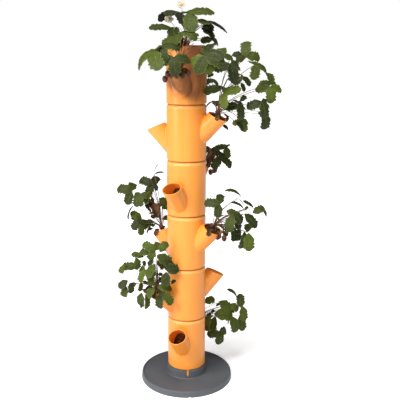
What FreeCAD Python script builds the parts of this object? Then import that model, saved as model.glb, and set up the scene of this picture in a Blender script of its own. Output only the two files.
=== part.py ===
"""Vertical planter tower: six stacked plastic tiers that turn on each other, on a round foot.

Each tier is a hollow length of column with two slanted spouts, one high and one low. It is filled
with soil, and strawberry plants grow in the spouts and in the open top. Millimetres, Z up, with
the origin on the floor under the middle of the column, and the front of the tower towards -Y.
"""

import math
import os

import FreeCAD
import Part
from FreeCAD import Vector

# Column of tiers
TIER_PITCH = 204.0
COLUMN_RADIUS = 72.5
WALL = 3.5
BOTTOM_ROUNDING = 5.5
SHOULDER_RADIUS = 14.0
SHOULDER_HEIGHT = 13.0

# Spigot under each tier, set in from the column's skin, and the neck that takes it
SPIGOT_INSET = 13.5
SPIGOT_LENGTH = 28.0
SPIGOT_LEAD = 2.0
NECK_CLEARANCE = 0.5
NECK_COLLAR_DEPTH = 12.0

# Where each tier's upper spout points, from the lowest tier up, in degrees from +X. The lower
# spout is on the other side of the column.
TIER_TURNS = [-107, 20, -36, 64, -20, 77]

# Spouts
SPOUT_RADIUS = 35.0
SPOUT_WALL = 3.5
SPOUT_LEAN = 46.0
MOUTH_PROJECTION = 47.5
MOUTH_TILT = 25.0
UPPER_MOUTH_HEIGHT = 161.5
LOWER_MOUTH_HEIGHT = 117.0
SPOUT_FILLET = 4.0
LIP_ROUNDING = 1.2

# Foot
FOOT_RADIUS = 178.0
FOOT_HEIGHT = 23.5
FOOT_TAPER = 2.0
FOOT_EDGE_ROUNDING = 5.0
FOOT_WALL = 3.5
TRAY_DEPTH = 2.5
TRAY_RADIUS = 166.5
COLLAR_TOP = 55.0
COLLAR_MARGIN = 2.0
COLLAR_SPREAD = 2.0
COLLAR_EDGE_ROUNDING = 3.0
COLLAR_FOOT_FILLET = 6.0
RIB_COUNT = 8
RIB_THICKNESS = 3.0
RIB_LIFT = 1.0
HUB_RADIUS = 18.0
DRAIN_WIDTH = 9.0
DRAIN_TURN = -86.0
KEY_CLEARANCE = 1.0
KEY_LENGTH = 25.0
KEY_RISE = 2.5
KEY_ROUNDING = 1.5
OUTLET_WIDTH = 10.0
OUTLET_HEIGHT = 3.5

# Soil
FILL_GAP = 0.4
TOP_SOIL_BELOW_RIM = 12.0
ROOTS_BELOW_MOUTH = 7.0

# Plants
CROWN_RADIUS = 9.0
CROWN_HEIGHT = 15.0
STALK_WIDTH = 2.6
STALK_TAPER = 0.25
STALK_RISE = 0.62
STALK_CLEARANCE = 45.0
FRUIT_STALK_WIDTH = 2.1
FRUIT_STALK_RISE = 75.0
LEAFLET_THICKNESS = 1.6
LEAFLET_FOLD = 0.07
LEAFLET_DROOP = 0.09
SIDE_LEAFLET_ANGLE = 92.0
SIDE_LEAFLET_SIZE = 0.88
SIDE_LEAFLET_SAG = 0.25
BERRY_RADIUS = 9.5
BERRY_LENGTH = 23.0
BERRY_TIP_RADIUS = 3.5
PETAL_LENGTH = 13.0
PETAL_WIDTH = 11.0
PETAL_THICKNESS = 0.9
PETAL_LIFT = 14.0
EYE_RADIUS = 3.5
EYE_TIP_RADIUS = 2.2

TIER_COUNT = len(TIER_TURNS)
RIM_HEIGHT = COLLAR_TOP + TIER_COUNT * TIER_PITCH
SPIGOT_RADIUS = COLUMN_RADIUS - SPIGOT_INSET
NECK_RADIUS = SPIGOT_RADIUS + NECK_CLEARANCE
BORE_RADIUS = SPOUT_RADIUS - SPOUT_WALL
SPIGOT_BORE = SPIGOT_RADIUS - WALL
INNER_RADIUS = COLUMN_RADIUS - WALL
COLLAR_RADIUS = COLUMN_RADIUS + COLLAR_MARGIN
MOUTH_REACH = COLUMN_RADIUS + MOUTH_PROJECTION
WELL_FLOOR = COLLAR_TOP - SPIGOT_LENGTH - NECK_CLEARANCE
UP = Vector(0, 0, 1)

# The eight planted spouts, as (tier, level), and each plant's leaves. A leaf is where its stalk
# ends, seen from the plant's crown, then the way its middle leaflet points (turn and rise in
# degrees), the roll about that way, and the leaflet's length.
TOP_PLANT = (6, "top")
LEAVES = {
    TOP_PLANT: [
        (-50, -10, 55, -160, 8, 25, 84),
        (-30, 40, 112, 150, 5, -15, 88),
        (5, -30, 105, 5, 10, -28, 94),
        (75, 10, 80, -15, -20, 15, 82),
        (-15, -60, 40, -40, 0, -25, 66),
        (-35, -50, 25, -150, -20, 30, 60),
        (92, 30, 16, 110, 60, -15, 50),
    ],
    (6, "lower"): [
        (-80, -70, 60, 170, -22, 30, 92),
        (-15, -60, 38, -80, -60, -10, 64),
        (-55, -40, 72, -10, 15, -35, 64),
        (85, -60, 45, -10, -20, -55, 76),
        (90, -45, 42, -60, -50, -10, 66),
        (88, -40, 48, 65, 55, 15, 76),
    ],
    (6, "upper"): [
        (112, 40, -8, 100, 50, 10, 60),
        (60, 60, -90, -20, -10, -10, 50),
        (75, 25, -115, -35, -5, -10, 56),
        (-110, 60, 10, 160, -25, 20, 70),
    ],
    (5, "upper"): [
        (100, 20, 198, 100, 75, 25, 64),
        (125, -30, 172, 10, -8, -35, 64),
        (40, -40, 175, -60, -55, -10, 70),
        (85, 30, 130, -30, -30, -20, 48),
        (185, 0, 95, -80, -55, 0, 62),
        (150, -50, 48, -55, -50, -5, 66),
        (18, -60, 80, -40, 15, -45, 68),
        (70, -40, 38, -50, -50, 0, 62),
        (88, -10, -22, -60, -50, 0, 44),
        (-5, 75, 40, 80, -10, 0, 50),
        (190, 15, 104, 95, 65, -20, 52),
    ],
    (4, "upper"): [
        (105, 20, 60, 180, 0, 35, 54),
        (75, -30, 30, -10, -30, -35, 62),
        (45, 40, 50, -90, -60, 10, 50),
    ],
    (3, "upper"): [
        (25, 10, 80, 175, 20, 55, 62),
        (58, -40, 62, -115, -50, 0, 62),
        (80, -20, 25, -90, -70, 30, 60),
        (115, 20, 45, -40, -35, -20, 58),
        (150, 50, 65, -5, -15, -40, 52),
        (125, 10, 5, -75, -70, 20, 72),
        (85, 60, 110, 135, 40, 0, 60),
    ],
    (3, "lower"): [
        (-115, -20, 152, -175, 20, 60, 64),
        (-80, -60, 148, -100, -55, -10, 50),
        (-35, 0, 172, 170, 25, 55, 60),
        (-85, -30, 42, -140, -40, 45, 52),
        (-80, 10, 12, -100, -60, 0, 44),
        (0, 70, 75, 90, 35, 0, 50),
    ],
    (2, "lower"): [
        (-5, -40, 155, 150, 45, 20, 62),
        (24, -70, 130, -10, -30, -50, 66),
        (-30, -40, 75, 50, 50, -10, 52),
        (-55, 10, 75, -175, 5, 40, 66),
        (-45, -70, 90, -140, -35, 45, 52),
        (-105, -20, 20, -115, -50, 20, 56),
        (0, -50, 30, -135, -15, 25, 52),
        (-55, -55, -2, -115, -50, 10, 56),
        (16, -75, 10, -110, -45, 10, 58),
    ],
    (1, "lower"): [
        (100, 30, 72, 0, 0, -40, 60),
        (175, 10, 92, -75, -50, -10, 54),
        (75, -40, 50, -10, -5, -50, 72),
        (165, -20, 34, -35, -45, -25, 54),
        (130, -50, 5, -60, -25, 0, 52),
        (95, -60, -20, -50, -50, 0, 62),
        (78, 30, 90, 180, -20, 30, 46),
    ],
}

# Fruit that hangs over a mouth: where each berry's stalk ends, seen from the crown
BERRIES = {
    (6, "lower"): [(-46, -16, -22), (-36, -32, -5)],
    (4, "upper"): [(42, -6, -22), (58, 20, -2)],
    (3, "upper"): [(42, -34, -24), (50, -11, -12)],
}

# Flowers on long stalks over the top plant: where each one faces up, seen from the crown
FLOWERS = {TOP_PLANT: [(-18, -36, 130), (-62, 14, 84)]}


def rotated(point, angle):
    """The point turned about the column by an angle in degrees."""
    turn = math.radians(angle)
    return Vector(
        point.x * math.cos(turn) - point.y * math.sin(turn),
        point.x * math.sin(turn) + point.y * math.cos(turn),
        point.z,
    )


def revolved(outline):
    """Solid of revolution about Z. A point is (radius, height), or ((radius, height), (radius,
    height)) for an arc through the first to the second."""
    edges = []
    start = None
    for item in outline + outline[:1]:
        bent = isinstance(item[0], tuple)
        end = Vector(item[1][0], 0, item[1][1]) if bent else Vector(item[0], 0, item[1])
        if start is not None and bent:
            middle = Vector(item[0][0], 0, item[0][1])
            edges.append(Part.Arc(start, middle, end).toShape())
        elif start is not None:
            edges.append(Part.LineSegment(start, end).toShape())
        start = end
    return Part.Face(Part.Wire(edges)).revolve(Vector(0, 0, 0), UP, 360)


def arc_about(radius_out, height, radius, first, last):
    """An outline's arc about a point, from one angle to another in degrees from outward."""
    middle = math.radians((first + last) / 2)
    end = math.radians(last)
    return (
        (radius_out + radius * math.cos(middle), height + radius * math.sin(middle)),
        (radius_out + radius * math.cos(end), height + radius * math.sin(end)),
    )


def tier_base(tier):
    """Height of a tier's bottom edge; tiers are counted from 1 at the foot."""
    return COLLAR_TOP + (tier - 1) * TIER_PITCH


def spout_turn(tier, level):
    return TIER_TURNS[tier - 1] + (0 if level == "upper" else 180)


def mouth_centre(tier, level):
    rise = UPPER_MOUTH_HEIGHT if level == "upper" else LOWER_MOUTH_HEIGHT
    return rotated(Vector(MOUTH_REACH, 0, tier_base(tier) + rise), spout_turn(tier, level))


def spout_axis(tier, level):
    """Unit vector up along a spout."""
    lean = math.radians(SPOUT_LEAN)
    return rotated(Vector(math.cos(lean), 0, math.sin(lean)), spout_turn(tier, level))


def mouth_normal(tier, level):
    """Unit vector square to the slanted mouth, out of the spout."""
    tilt = math.radians(MOUTH_TILT)
    return rotated(Vector(math.sin(tilt), 0, math.cos(tilt)), spout_turn(tier, level))


def spout_rod(tier, level, radius, below_mouth):
    """A rod along a spout from the column's axis, cut parallel to the mouth a little below it."""
    centre = mouth_centre(tier, level)
    axis = spout_axis(tier, level)
    normal = mouth_normal(tier, level)
    length = MOUTH_REACH / math.cos(math.radians(SPOUT_LEAN))
    rod = Part.makeCylinder(radius, length + 2 * radius, centre - axis * length, axis)
    lid = Part.makeCylinder(4 * radius, 4 * radius, centre - normal * below_mouth, normal)
    return rod.cut(lid)


def shoulder_arc(inset):
    """The rounded top of a tier, or of its inside at an inset, as an outline's arc."""
    radius = SHOULDER_RADIUS - inset
    seat = math.sqrt(SHOULDER_RADIUS**2 - SHOULDER_HEIGHT**2)
    stop = math.acos(seat / SHOULDER_RADIUS)
    centre = COLUMN_RADIUS - SHOULDER_RADIUS
    if inset:
        stop = math.acos((NECK_RADIUS + inset - centre) / radius)
    return arc_about(centre, TIER_PITCH - SHOULDER_HEIGHT, radius, 0, math.degrees(stop))


def tier_skin():
    """The outside of a tier with no spouts, standing on its bottom edge, as a filled solid."""
    rounding = arc_about(
        COLUMN_RADIUS - BOTTOM_ROUNDING, BOTTOM_ROUNDING, BOTTOM_ROUNDING, -90, 0
    )
    return revolved(
        [
            (0, -SPIGOT_LENGTH),
            (SPIGOT_RADIUS - SPIGOT_LEAD, -SPIGOT_LENGTH),
            (SPIGOT_RADIUS, SPIGOT_LEAD - SPIGOT_LENGTH),
            (SPIGOT_RADIUS, 0),
            (COLUMN_RADIUS - BOTTOM_ROUNDING, 0),
            rounding,
            (COLUMN_RADIUS, TIER_PITCH - SHOULDER_HEIGHT),
            shoulder_arc(0),
            (0, TIER_PITCH),
        ]
    )


def tier_hollow():
    """The inside of a tier: spigot bore, main bore and the neck with its turned-down collar."""
    collar_outside = NECK_RADIUS + WALL
    collar_end = TIER_PITCH - NECK_COLLAR_DEPTH
    return revolved(
        [
            (0, -2 * SPIGOT_LENGTH),
            (SPIGOT_BORE, -2 * SPIGOT_LENGTH),
            (SPIGOT_BORE, WALL),
            (INNER_RADIUS, WALL),
            (INNER_RADIUS, TIER_PITCH - SHOULDER_HEIGHT),
            shoulder_arc(WALL),
            (collar_outside, collar_end),
            (NECK_RADIUS, collar_end),
            (NECK_RADIUS, 2 * TIER_PITCH),
            (0, 2 * TIER_PITCH),
        ]
    )


def spout_root_edges(shell):
    """The curved edges where the two spouts leave the column."""
    found = []
    for edge in shell.Edges:
        near = [
            abs(math.hypot(vertex.X, vertex.Y) - COLUMN_RADIUS) < 0.01 for vertex in edge.Vertexes
        ]
        middle = edge.valueAt((edge.FirstParameter + edge.LastParameter) / 2)
        on_skin = abs(math.hypot(middle.x, middle.y) - COLUMN_RADIUS) < 0.01
        plain = isinstance(edge.Curve, (Part.Circle, Part.Line))
        if all(near) and on_skin and not plain:
            found.append(edge)
    return found


def lip_edges(shell, tier):
    """The inner and outer edge of each spout's mouth."""
    found = []
    for level in ("upper", "lower"):
        centre = mouth_centre(tier, level)
        normal = mouth_normal(tier, level)
        for edge in shell.Edges:
            middle = edge.valueAt((edge.FirstParameter + edge.LastParameter) / 2)
            ends = [abs((vertex.Point - centre).dot(normal)) < 0.01 for vertex in edge.Vertexes]
            near = (middle - centre).Length < 2 * SPOUT_RADIUS
            if near and all(ends) and abs((middle - centre).dot(normal)) < 0.01:
                found.append(edge)
    return found


def tier_shell(tier):
    lift = Vector(0, 0, tier_base(tier))
    shell = tier_skin().translated(lift)
    for level in ("upper", "lower"):
        shell = shell.fuse(spout_rod(tier, level, SPOUT_RADIUS, 0))
    shell = shell.removeSplitter()
    shell = shell.makeFillet(SPOUT_FILLET, spout_root_edges(shell))
    if tier == 1:
        shell = shell.fuse(key())
    shell = shell.cut(tier_hollow().translated(lift))
    for level in ("upper", "lower"):
        shell = shell.cut(spout_rod(tier, level, BORE_RADIUS, -2 * SPOUT_RADIUS))
    return shell.makeFillet(LIP_ROUNDING, lip_edges(shell, tier))


def key():
    """Lug under the lowest tier's wall that drops into the slot in the foot's collar."""
    height = KEY_LENGTH + KEY_RISE
    width = DRAIN_WIDTH - 2 * KEY_CLEARANCE
    start = SPIGOT_RADIUS - WALL / 2
    lug = turned_block(width, start, COLLAR_RADIUS + KEY_CLEARANCE, COLLAR_TOP - KEY_LENGTH, height)
    front = [edge for edge in lug.Edges if is_in_front(edge)]
    return lug.makeFillet(KEY_ROUNDING, front)


def is_in_front(edge):
    """Whether an edge of the key lies wholly outside the foot's collar."""
    return all(math.hypot(end.X, end.Y) > COLLAR_RADIUS for end in edge.Vertexes)


def soil_fill(tier):
    """Soil from a tier's spigot up to the next tier's, or up into the open neck of the top one."""
    base = tier_base(tier)
    wide = INNER_RADIUS - FILL_GAP
    tube = SPIGOT_BORE - FILL_GAP
    settled = TIER_PITCH - SPIGOT_LENGTH
    outline = [(0, -SPIGOT_LENGTH), (tube, -SPIGOT_LENGTH), (tube, WALL + FILL_GAP)]
    outline.append((wide, WALL + FILL_GAP))
    if tier < TIER_COUNT:
        outline += [(wide, settled), (0, settled)]
    else:
        under_collar = TIER_PITCH - NECK_COLLAR_DEPTH - FILL_GAP
        surface = TIER_PITCH - TOP_SOIL_BELOW_RIM
        neck = NECK_RADIUS - FILL_GAP
        outline += [(wide, under_collar - WALL), (neck, under_collar), (neck, surface)]
        outline.append((0, surface))
    return revolved(outline).translated(Vector(0, 0, base))


def roots(tier, level):
    """Packed roots that fill a planted spout from the soil inside the column to near its mouth."""
    plug = spout_rod(tier, level, BORE_RADIUS - FILL_GAP, ROOTS_BELOW_MOUTH)
    core_start = Vector(0, 0, tier_base(tier) - TIER_PITCH)
    return plug.cut(Part.makeCylinder(INNER_RADIUS, 2 * TIER_PITCH, core_start))


def foot():
    """Round foot: shallow tray and a collar round a well for the lowest spigot. Ribs and a hub under
    the well carry it from below."""
    tray = FOOT_HEIGHT - TRAY_DEPTH
    top_radius = FOOT_RADIUS - FOOT_TAPER
    collar_foot = COLLAR_RADIUS + COLLAR_SPREAD
    edge = arc_about(
        top_radius - FOOT_EDGE_ROUNDING, FOOT_HEIGHT - FOOT_EDGE_ROUNDING, FOOT_EDGE_ROUNDING, 0, 90
    )
    fillet = arc_about(
        collar_foot + COLLAR_FOOT_FILLET, tray + COLLAR_FOOT_FILLET, COLLAR_FOOT_FILLET, 270, 180
    )
    brow = arc_about(
        COLLAR_RADIUS - COLLAR_EDGE_ROUNDING,
        COLLAR_TOP - COLLAR_EDGE_ROUNDING,
        COLLAR_EDGE_ROUNDING,
        0,
        90,
    )
    skin = revolved(
        [
            (0, 0),
            (FOOT_RADIUS, 0),
            (top_radius, FOOT_HEIGHT - FOOT_EDGE_ROUNDING),
            edge,
            (TRAY_RADIUS + TRAY_DEPTH, FOOT_HEIGHT),
            (TRAY_RADIUS, tray),
            (collar_foot + COLLAR_FOOT_FILLET, tray),
            fillet,
            (COLLAR_RADIUS, COLLAR_TOP - COLLAR_EDGE_ROUNDING),
            brow,
            (NECK_RADIUS, COLLAR_TOP),
            (NECK_RADIUS, WELL_FLOOR),
            (0, WELL_FLOOR),
        ]
    )
    ceiling = tray - FOOT_WALL
    well_outside = NECK_RADIUS + FOOT_WALL
    cone_inside = COLLAR_RADIUS - FOOT_WALL
    hollow = revolved(
        [
            (0, -FOOT_HEIGHT),
            (FOOT_RADIUS - FOOT_WALL, -FOOT_HEIGHT),
            (top_radius - FOOT_WALL, ceiling),
            (cone_inside + COLLAR_SPREAD, ceiling),
            (cone_inside, COLLAR_TOP - FOOT_WALL),
            (well_outside, COLLAR_TOP - FOOT_WALL),
            (well_outside, WELL_FLOOR - FOOT_WALL),
            (0, WELL_FLOOR - FOOT_WALL),
        ]
    )
    for number in range(RIB_COUNT):
        rib = Part.makeBox(
            FOOT_RADIUS, RIB_THICKNESS, FOOT_HEIGHT, Vector(NECK_RADIUS, -RIB_THICKNESS / 2, RIB_LIFT)
        )
        rib.rotate(Vector(0, 0, 0), UP, DRAIN_TURN + (number + 0.5) * 360 / RIB_COUNT)
        hollow = hollow.cut(rib)
    cheeks = turned_block(DRAIN_WIDTH + 2 * FOOT_WALL, NECK_RADIUS, COLLAR_RADIUS, 0)
    hub = Part.makeCylinder(HUB_RADIUS, COLLAR_TOP)
    body = skin.cut(hollow.cut(cheeks).cut(hub))
    slot_end = COLLAR_RADIUS + COLLAR_SPREAD + COLLAR_FOOT_FILLET
    body = body.cut(turned_block(DRAIN_WIDTH, NECK_RADIUS - WALL, slot_end, WELL_FLOOR))
    outlet = Part.makeBox(
        2 * FOOT_WALL + FOOT_TAPER,
        OUTLET_WIDTH,
        2 * OUTLET_HEIGHT,
        Vector(FOOT_RADIUS - FOOT_WALL - FOOT_TAPER, -OUTLET_WIDTH / 2, -OUTLET_HEIGHT),
    )
    outlet = outlet.makeFillet(OUTLET_WIDTH / 4, outlet.Edges[9:12:2])
    outlet.rotate(Vector(0, 0, 0), UP, DRAIN_TURN)
    return body.cut(outlet)


def turned_block(width, start, end, bottom, height=COLLAR_TOP):
    """A radial block over the drain slot, as a rule from a height up past the collar's top."""
    block = Part.makeBox(end - start, width, height, Vector(start, -width / 2, bottom))
    block.rotate(Vector(0, 0, 0), UP, DRAIN_TURN)
    return block


def faceted(points, triangles):
    """Closed solid from corner points and triangles of their numbers."""
    shell = Part.Shape()
    shell.makeShapeFromMesh((points, triangles), 0.001)
    return Part.makeSolid(shell)


def leaflet(start, along, side, normal, length):
    """One leaflet: a pointed oval, folded along its rib, with its tip bent down."""
    outline = [(0.22, 0.14, 0.3), (0.5, 0.32, 0.8), (0.78, 0.33, 0.6), (0.94, 0.17, -0.2)]
    tip = start + along * length - normal * (LEAFLET_DROOP * length)
    points = [start, tip]
    for hand in (1, -1):
        for reach, width, lift in outline:
            share = LEAFLET_FOLD if lift > 0 else LEAFLET_DROOP
            points.append(
                start
                + along * (reach * length)
                + side * (hand * width * length)
                + normal * (share * lift * length)
            )
    rib = start + along * (0.5 * length)
    points += [rib, rib - normal * LEAFLET_THICKNESS]
    rim = [0, 2, 3, 4, 5, 1, 9, 8, 7, 6]
    triangles = []
    for place, corner in enumerate(rim):
        after = rim[(place + 1) % len(rim)]
        triangles.append((10, after, corner))
        triangles.append((11, corner, after))
    return faceted(points, triangles)


def stalk(start, end, lift, width):
    """A thin square stalk that leaves its start straight up and bends over to its end. Its corners
    are turned from a level way that no stalk follows."""
    knee = start + UP * lift
    aside = Vector(0.31, 0.95, 0)
    sections = []
    steps = 4
    for step in range(steps + 1):
        t = step / steps
        centre = start * (1 - t) ** 2 + knee * (2 * t * (1 - t)) + end * t**2
        way = (knee - start) * (1 - t) + (end - knee) * t
        way.normalize()
        across = way.cross(aside)
        across.normalize()
        over = across.cross(way)
        half = width * (1 - STALK_TAPER * t) / 2
        if step == steps:
            centre = centre + way * width
        sections += [
            centre + across * half,
            centre + over * half,
            centre - across * half,
            centre - over * half,
        ]
    triangles = [(0, 1, 2), (0, 2, 3)]
    for step in range(steps):
        for corner in range(4):
            low = 4 * step + corner
            beside = 4 * step + (corner + 1) % 4
            triangles += [(low, low + 4, beside), (beside, low + 4, beside + 4)]
    last = 4 * steps
    triangles += [(last, last + 2, last + 1), (last, last + 3, last + 2)]
    return faceted(sections, triangles)


def leaf(crown, row):
    """Stalk and three leaflets of one leaf."""
    x, y, z, turn, rise, roll, length = row
    joint = crown + Vector(x, y, z)
    heading = math.atan2(y, x)
    start = crown + Vector(math.cos(heading), math.sin(heading), 0) * STALK_WIDTH
    start = start - UP * (CROWN_HEIGHT / 4)
    lift = max(STALK_RISE * z, STALK_CLEARANCE - z / 2)
    turn, rise, roll = (math.radians(angle) for angle in (turn, rise, roll))
    along = Vector(
        math.cos(rise) * math.cos(turn), math.cos(rise) * math.sin(turn), math.sin(rise)
    )
    level = Vector(-math.sin(turn), math.cos(turn), 0)
    flat = along.cross(level)
    normal = flat * math.cos(roll) + level * math.sin(roll)
    side = level * math.cos(roll) - flat * math.sin(roll)
    pieces = [stalk(start, joint, lift, STALK_WIDTH), leaflet(joint, along, side, normal, length)]
    spread = math.radians(SIDE_LEAFLET_ANGLE)
    for hand in (1, -1):
        way = along * math.cos(spread) + side * (hand * math.sin(spread))
        way = way - normal * SIDE_LEAFLET_SAG
        way.normalize()
        across = normal.cross(way)
        across.normalize()
        out = way.cross(across)
        pieces.append(leaflet(joint, way, across, out, length * SIDE_LEAFLET_SIZE))
    return pieces


def crown_foot(place):
    """Where a plant's crown stands, and the slope of the soil there."""
    tier, level = place
    if level == "top":
        return Vector(0, 0, RIM_HEIGHT - TOP_SOIL_BELOW_RIM), UP
    normal = mouth_normal(tier, level)
    return mouth_centre(tier, level) - normal * ROOTS_BELOW_MOUTH, normal


def crown_top(place):
    return crown_foot(place)[0] + UP * CROWN_HEIGHT


def cut_at_soil(shape, place):
    """Leave only what stands above the soil of a plant's place."""
    foot_point, normal = crown_foot(place)
    ground = Part.makeCylinder(
        SPOUT_RADIUS, 2 * CROWN_HEIGHT, foot_point - normal * (2 * CROWN_HEIGHT), normal
    )
    return shape.cut(ground)


def plant(place):
    """A plant's crown with its leaves, as one solid that stands on the soil."""
    top = crown_top(place)
    height = CROWN_HEIGHT + CROWN_RADIUS
    crown = Part.makeCone(CROWN_RADIUS, CROWN_RADIUS / 2, height, top - UP * height)
    pieces = []
    for row in LEAVES[place]:
        pieces += leaf(top, row)
    return cut_at_soil(crown, place).multiFuse(pieces)


def berry(stem_end):
    """A berry under its stalk's end: a round shoulder that tapers to a small round tip."""
    tip = BERRY_LENGTH - BERRY_TIP_RADIUS
    slope = math.degrees(math.asin((BERRY_RADIUS - BERRY_TIP_RADIUS) / (tip - BERRY_RADIUS)))
    side = arc_about(0, -tip, BERRY_TIP_RADIUS, -90, -slope)
    shoulder = arc_about(0, -BERRY_RADIUS, BERRY_RADIUS, -slope, 90)
    turn = math.radians(-slope)
    start = (BERRY_RADIUS * math.cos(turn), BERRY_RADIUS * (math.sin(turn) - 1))
    return revolved([(0, -BERRY_LENGTH), side, start, shoulder]).translated(stem_end)


def beside_crown(place, away):
    """A point under the soil beside a crown, where a fruit or flower stalk begins."""
    foot_point, normal = crown_foot(place)
    out = Vector(away.x, away.y, 0)
    out.normalize()
    return foot_point - normal * CROWN_RADIUS + out * (CROWN_RADIUS + 2 * STALK_WIDTH)


def truss(place):
    """Berries on stalks that stand on the soil beside the crown and hang over the mouth's edge."""
    shapes = []
    for row in BERRIES[place]:
        end = crown_top(place) + Vector(*row)
        stem = stalk(beside_crown(place, Vector(*row)), end, FRUIT_STALK_RISE, FRUIT_STALK_WIDTH)
        shapes.append(cut_at_soil(stem.fuse(berry(end)), place))
    return Part.makeCompound(shapes)


def flower(centre):
    """Five round petals about a small domed eye, facing up."""
    eye = Part.makeCone(EYE_RADIUS, EYE_TIP_RADIUS, EYE_RADIUS, centre - UP)
    petals = []
    for number in range(5):
        middle = centre + Vector(PETAL_LENGTH / 2, 0, 0)
        petal = Part.makeCylinder(PETAL_WIDTH / 2, PETAL_THICKNESS, middle)
        petal.rotate(centre, Vector(0, 1, 0), -PETAL_LIFT)
        petal.rotate(centre, UP, 72 * number)
        petals.append(petal)
    return eye.multiFuse(petals)


def flowers(place):
    """Flowers on long stalks that stand on the soil beside the crown."""
    shapes = []
    for row in FLOWERS[place]:
        end = crown_top(place) + Vector(*row)
        start = beside_crown(place, Vector(*row))
        stem = stalk(start, end, row[2] * STALK_RISE, FRUIT_STALK_WIDTH)
        shapes.append(cut_at_soil(stem.fuse(flower(end)), place))
    return Part.makeCompound(shapes)


def save(shape, node):
    shape.exportStep("parts/" + node + ".step")


def main():
    os.makedirs("parts", exist_ok=True)
    save(foot(), "foot")
    for tier in range(1, TIER_COUNT + 1):
        save(tier_shell(tier), f"tier_{tier}_shell")
        save(soil_fill(tier), f"tier_{tier}_soil")
    for place in LEAVES:
        tier, level = place
        if level != "top":
            save(roots(tier, level), f"tier_{tier}_{level}_roots")
        save(plant(place), f"tier_{tier}_{level}_plant")
    for place in BERRIES:
        save(truss(place), f"tier_{place[0]}_{place[1]}_berries")
    for place in FLOWERS:
        save(flowers(place), f"tier_{place[0]}_{place[1]}_flowers")


main()
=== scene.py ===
"""Looks of the vertical planter tower: moulded plastic, soil, strawberry leaves, fruit and flowers.

Metres, Z up, with the front of the tower towards -Y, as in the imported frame.
"""

import math
import random

import bpy
from mathutils import Matrix, Vector


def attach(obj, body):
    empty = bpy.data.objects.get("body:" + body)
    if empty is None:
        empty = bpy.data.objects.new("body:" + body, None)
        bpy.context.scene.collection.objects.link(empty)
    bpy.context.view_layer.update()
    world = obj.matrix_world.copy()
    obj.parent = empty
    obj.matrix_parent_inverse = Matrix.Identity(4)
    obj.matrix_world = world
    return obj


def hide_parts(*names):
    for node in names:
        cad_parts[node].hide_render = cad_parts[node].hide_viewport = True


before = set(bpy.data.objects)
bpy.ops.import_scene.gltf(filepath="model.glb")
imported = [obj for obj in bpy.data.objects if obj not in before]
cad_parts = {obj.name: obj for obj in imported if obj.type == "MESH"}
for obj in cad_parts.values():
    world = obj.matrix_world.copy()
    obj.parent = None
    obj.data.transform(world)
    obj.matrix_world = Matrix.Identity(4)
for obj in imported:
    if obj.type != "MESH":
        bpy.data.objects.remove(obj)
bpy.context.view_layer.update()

# Camera, fitted to the photograph: place, degrees up from straight down, lens and sideways shift
CAMERA_PLACE = (0.0, -2.2886, 1.2673)
CAMERA_PITCH = 76.478
CAMERA_LENS = 56.65
CAMERA_SHIFT = 0.03375

# Lamps: place, size and power in watts; all point at one height on the tower's axis
LAMPS = {
    "key": ((-2.1, -2.4, 3.4), 1.1, 112),
    "strip": ((-2.75, -1.35, 1.3), 0.7, 36),
    "front": ((0.0, -3.9, 1.6), 1.5, 30),
    "fill": ((3.0, -1.6, 1.6), 1.6, 3),
    "top": ((0.0, -1.4, 4.0), 1.8, 84),
}
LAMP_AIM = 0.75
# White light from all round, the floor's own glow by the tower, and how far off it grows to full
ROOM_LIGHT = 0.18
FLOOR_GLOW = 0.45
FLOOR_GLOW_FROM = 0.3
FLOOR_GLOW_FULL = 1.8

# Tower, as in the construction
TIER_PITCH = 0.204
COLLAR_TOP = 0.055
TIER_TURNS = [-107, 20, -36, 64, -20, 77]
NECK_RADIUS = 0.0595
BORE_RADIUS = 0.0315
MOUTH_REACH = 0.120
MOUTH_TILT = 25.0
UPPER_MOUTH_HEIGHT = 0.1615
LOWER_MOUTH_HEIGHT = 0.117
ROOTS_BELOW_MOUTH = 0.007
TOP_SOIL_BELOW_RIM = 0.012
RIM_HEIGHT = COLLAR_TOP + len(TIER_TURNS) * TIER_PITCH

# Painted shade of the top tier's plants, in an earth brown: the heights where it starts and is
# full, how much higher they are towards the left, and how far its ragged edge runs
CANOPY_SHADE_FROM = 1.094
CANOPY_SHADE_TO = 1.152
CANOPY_SHADE_SLANT = 0.75
CANOPY_SHADE_RAGGEDNESS = 0.06
# The painted shade fades out between these heights up to the rim, except on the right, where it
# stays more and more between these places
CANOPY_SHADE_FADE = (1.19, 1.29)
CANOPY_SHADE_SIDE = (-0.075, 0.03)

# Colours, as shares of red, green and blue light
ORANGE_PLASTIC = [(0.9, 0.3, 0.034), (0.95, 0.335, 0.042)]
# painted highlight on each tier's rounded shoulder
SHOULDER_HIGHLIGHT_COLOUR = (1.0, 0.5, 0.15)
# painted shade in the grooves between tiers
GROOVE_SHADE_COLOUR = (0.42, 0.14, 0.035)
# painted shade under the top tier's plants, in an earth brown
CANOPY_SHADE_COLOUR = (0.2, 0.062, 0.013)
BROWN_SPECKLE = (0.5, 0.2, 0.06)
GREY_PLASTIC = [(0.077, 0.084, 0.094), (0.096, 0.104, 0.116)]
GREY_DUST = (0.15, 0.155, 0.165)
CRUMBS = [(0.02, 0.008, 0.003), (0.085, 0.033, 0.009), (0.2, 0.09, 0.03)]
PALE_GRAIN = (0.42, 0.34, 0.25)
UPPER_GREENS = [(0.014, 0.019, 0.005), (0.042, 0.058, 0.005), (0.105, 0.145, 0.014)]
# pale veins, and the painted highlight along the margins
UPPER_VEIN_AND_HIGHLIGHT = (0.18, 0.22, 0.05)
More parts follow.
